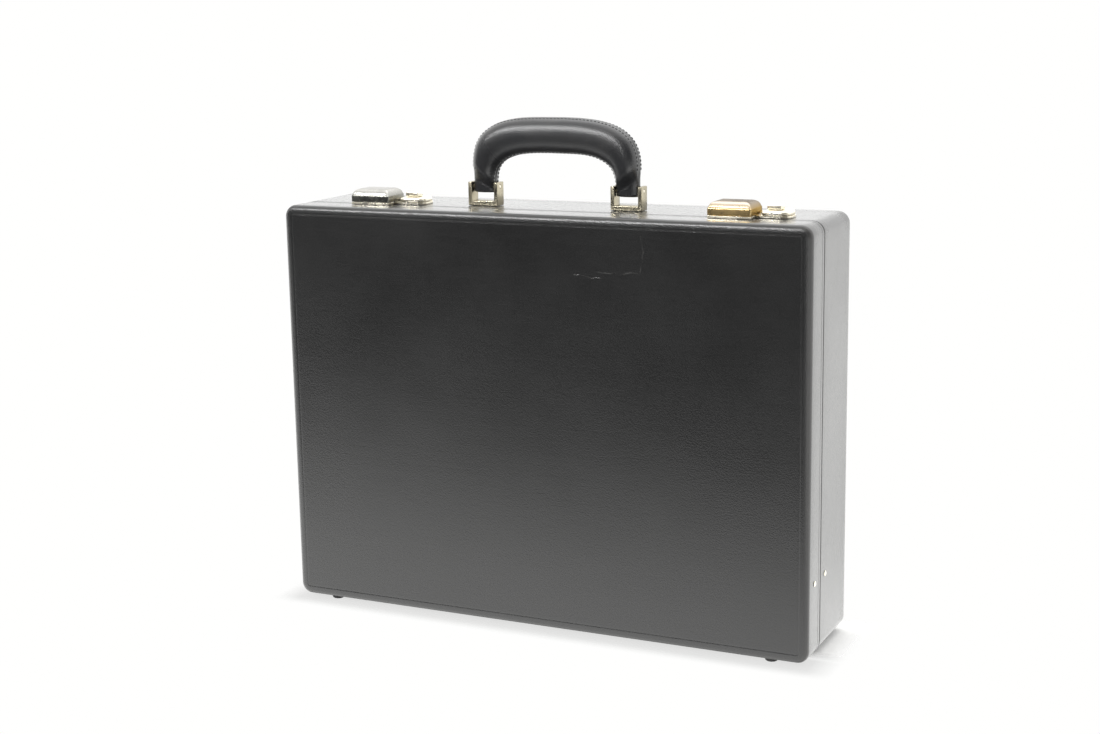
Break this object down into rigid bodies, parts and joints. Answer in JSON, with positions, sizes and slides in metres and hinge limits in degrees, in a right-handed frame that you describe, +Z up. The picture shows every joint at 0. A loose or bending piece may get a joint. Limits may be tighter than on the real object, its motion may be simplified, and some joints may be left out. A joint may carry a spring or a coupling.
{
  "type": "leather briefcase",
  "caption": "Hard-sided black leather attache case with a hinged lid, slide-catch locks, lid stays and a folding padded carrying handle.",
  "frame": {"origin": "on the floor under the middle of the case, which stands closed on its hinge side", "axes": "+X along the case's width to the viewer's right, +Y from the lid toward the base's back panel, +Z up toward the handle"},
  "size_m": [0.4318, 0.0948, 0.3888],
  "materials": {
    "black_leather": "smooth semi-gloss black leather with a fine grain",
    "black_edge_leather": "satin black leather binding",
    "poplar_board": "raw plywood board",
    "suede_lining": "matte suede-like lining",
    "pale_gold": "polished pale gold plating",
    "plated_steel": "plain plated steel",
    "black_rubber": "matte black"
  },
  "bodies": {
    "root": {"base_leather": "black_leather", "base_board_top": "poplar_board", "base_board_bottom": "poplar_board", "base_board_left": "poplar_board", "base_board_right": "poplar_board", "base_panel": "poplar_board", "base_lining": "suede_lining", "base_dust_lip": "black_edge_leather", "foot_base_left": "black_rubber", "foot_base_right": "black_rubber", "hinge_base_leaf_left": "pale_gold", "hinge_base_leaf_right": "pale_gold", "hinge_pin_left": "plated_steel", "hinge_pin_right": "plated_steel", "handle_bracket_left": "pale_gold", "handle_bracket_right": "pale_gold", "handle_pin_left": "pale_gold", "handle_pin_right": "pale_gold", "bracket_backing_plate_left": "plated_steel", "bracket_backing_plate_right": "plated_steel", "lock_plate_left": "pale_gold", "lock_plate_right": "pale_gold", "lock_housing_left": "pale_gold", "lock_housing_right": "pale_gold", "hasp_pin_left": "plated_steel", "hasp_pin_right": "plated_steel", "slide_spring_left": "plated_steel", "slide_spring_right": "plated_steel", "stay_base_rivet_left": "pale_gold", "stay_base_rivet_right": "pale_gold"},
    "lid": {"lid_leather": "black_leather", "lid_board_top": "poplar_board", "lid_board_bottom": "poplar_board", "lid_board_left": "poplar_board", "lid_board_right": "poplar_board", "lid_panel": "poplar_board", "lid_lining": "suede_lining", "lid_pocket": "suede_lining", "foot_lid_left": "black_rubber", "foot_lid_right": "black_rubber", "hinge_lid_leaf_left": "pale_gold", "hinge_lid_leaf_right": "pale_gold", "lid_catch_left": "pale_gold", "lid_catch_right": "pale_gold", "stay_lid_rivet_left": "pale_gold", "stay_lid_rivet_right": "pale_gold"},
    "handle": {"handle_grip": "black_leather", "handle_core": "plated_steel"},
    "hasp_left": {"hasp_left": "pale_gold"},
    "slide_left": {"slide_knob_left": "pale_gold"},
    "stay_base_left": {"stay_base_link_left": "pale_gold", "stay_elbow_rivet_left": "pale_gold"},
    "stay_lid_left": {"stay_lid_link_left": "pale_gold"},
    "hasp_right": {"hasp_right": "pale_gold"},
    "slide_right": {"slide_knob_right": "pale_gold"},
    "stay_base_right": {"stay_base_link_right": "pale_gold", "stay_elbow_rivet_right": "pale_gold"},
    "stay_lid_right": {"stay_lid_link_right": "pale_gold"}
  },
  "joints": [
    {"name": "lid_hinge", "type": "hinge", "parent": "root", "child": "lid", "pos_m": [0, -0.0184, 0.0025], "axis": [1, 0, 0], "range_deg": [0, 95]},
    {"name": "handle_pivot", "type": "hinge", "parent": "root", "child": "handle", "pos_m": [0, -0.0018, 0.3358], "axis": [1, 0, 0], "range_deg": [-90, 90]},
    {"name": "hasp_pivot_left", "type": "hinge", "parent": "root", "child": "hasp_left", "pos_m": [-0.1475, -0.006, 0.326], "axis": [-1, 0, 0], "range_deg": [0, 95]},
    {"name": "hasp_pivot_right", "type": "hinge", "parent": "root", "child": "hasp_right", "pos_m": [0.1475, -0.006, 0.326], "axis": [-1, 0, 0], "range_deg": [0, 95]},
    {"name": "slide_left", "type": "slide", "parent": "root", "child": "slide_left", "axis": [1, 0, 0], "range_m": [0, 0.004], "stiffness_N_per_m": 250, "springref_m": -0.004},
    {"name": "slide_right", "type": "slide", "parent": "root", "child": "slide_right", "axis": [1, 0, 0], "range_m": [0, 0.004], "stiffness_N_per_m": 250, "springref_m": -0.004},
    {"name": "stay_base_pivot_left", "type": "hinge", "parent": "root", "child": "stay_base_left", "pos_m": [-0.2055, -0.0071, 0.06082], "axis": [1, 0, 0], "range_deg": [0, 95]},
    {"name": "stay_lid_pivot_left", "type": "hinge", "parent": "lid", "child": "stay_lid_left", "pos_m": [-0.2039, -0.0321, 0.0603], "axis": [1, 0, 0], "range_deg": [-95, 0]},
    {"name": "stay_base_pivot_right", "type": "hinge", "parent": "root", "child": "stay_base_right", "pos_m": [0.2055, -0.0071, 0.06082], "axis": [1, 0, 0], "range_deg": [0, 95]},
    {"name": "stay_lid_pivot_right", "type": "hinge", "parent": "lid", "child": "stay_lid_right", "pos_m": [0.2039, -0.0321, 0.0603], "axis": [1, 0, 0], "range_deg": [-95, 0]}
  ],
  "couplings": [
    {"joint": "stay_base_pivot_left", "follows": "lid_hinge", "ratio": 1},
    {"joint": "stay_lid_pivot_left", "follows": "lid_hinge", "ratio": -1},
    {"joint": "stay_base_pivot_right", "follows": "lid_hinge", "ratio": 1},
    {"joint": "stay_lid_pivot_right", "follows": "lid_hinge", "ratio": -1}
  ]
}
